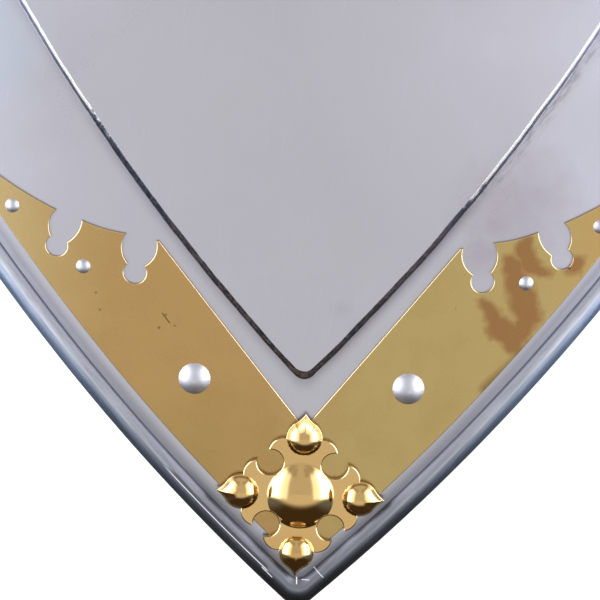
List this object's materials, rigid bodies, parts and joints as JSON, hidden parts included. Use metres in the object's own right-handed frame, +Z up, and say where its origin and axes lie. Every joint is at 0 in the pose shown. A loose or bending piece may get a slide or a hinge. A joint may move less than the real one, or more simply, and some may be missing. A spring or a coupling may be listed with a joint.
{
  "type": "heater shield",
  "caption": "Steel heater shield with raised field, rolled rim, brass corner mounts with domed bosses, padded arm rig with buckled strap, wall hanger and strap rings.",
  "frame": {"origin": "centre of the wall hanger's eye, behind the upper middle of the shield", "axes": "+X to the viewer's right as the shield is seen from the front, +Y out of the back towards the bearer, +Z up; the front faces -Y"},
  "size_m": [0.46, 0.1252, 0.6121],
  "materials": {
    "plate_steel": "satin polished sheet with fine scratches",
    "wire_steel": "drawn wire",
    "mount_brass": "polished sheet",
    "boss_brass": "bright polish",
    "rivet_steel": "bright domed heads",
    "hardware_steel": "plain steel",
    "buckle_steel": "polished wire",
    "strap_leather": "waxed dark brown strap leather",
    "pad_leather": "soft brown leather, stuffed"
  },
  "bodies": {
    "shield": {"shield_plate": "plate_steel", "rim_wire": "wire_steel", "corner_mount_bottom": "mount_brass", "corner_mount_top_left": "mount_brass", "corner_mount_top_right": "mount_brass", "boss_bottom": "boss_brass", "boss_top_left": "boss_brass", "boss_top_right": "boss_brass", "large_rivets": "rivet_steel", "small_rivets": "rivet_steel", "boss_studs": "hardware_steel", "boss_washers": "hardware_steel", "boss_nuts": "hardware_steel", "strap_rivets": "rivet_steel", "pad_rivets": "rivet_steel", "hanger_rivets": "rivet_steel", "ring_rivets": "rivet_steel", "strap_washers": "hardware_steel", "pad_washers": "hardware_steel", "forearm_strap_upper": "strap_leather", "forearm_strap_lower": "strap_leather", "strap_keeper": "strap_leather", "hand_strap": "strap_leather", "arm_pad": "pad_leather", "hanger_tab": "hardware_steel", "ring_tab_left": "hardware_steel", "ring_tab_right": "hardware_steel"},
    "buckle": {"buckle_frame": "buckle_steel"},
    "tongue": {"buckle_tongue": "buckle_steel"},
    "ring_left": {"guige_ring_left": "buckle_steel"},
    "ring_right": {"guige_ring_right": "buckle_steel"}
  },
  "joints": [
    {"name": "buckle_pivot", "type": "hinge", "parent": "shield", "child": "buckle", "pos_m": [0.06649, 0.0944, -0.1773], "axis": [0.9911, 0.1333, 0], "range_deg": [0, 20]},
    {"name": "tongue_pivot", "type": "hinge", "parent": "buckle", "child": "tongue", "pos_m": [0.06649, 0.0944, -0.1773], "axis": [0.9911, 0.1333, 0], "range_deg": [0, 75]},
    {"name": "ring_left_pivot", "type": "hinge", "parent": "shield", "child": "ring_left", "pos_m": [-0.13913, 0.00877, -0.059], "axis": [0.9724, -0.2332, 0], "range_deg": [0, 160]},
    {"name": "ring_right_pivot", "type": "hinge", "parent": "shield", "child": "ring_right", "pos_m": [0.13913, 0.00877, -0.059], "axis": [0.9724, 0.2332, 0], "range_deg": [0, 160]}
  ]
}
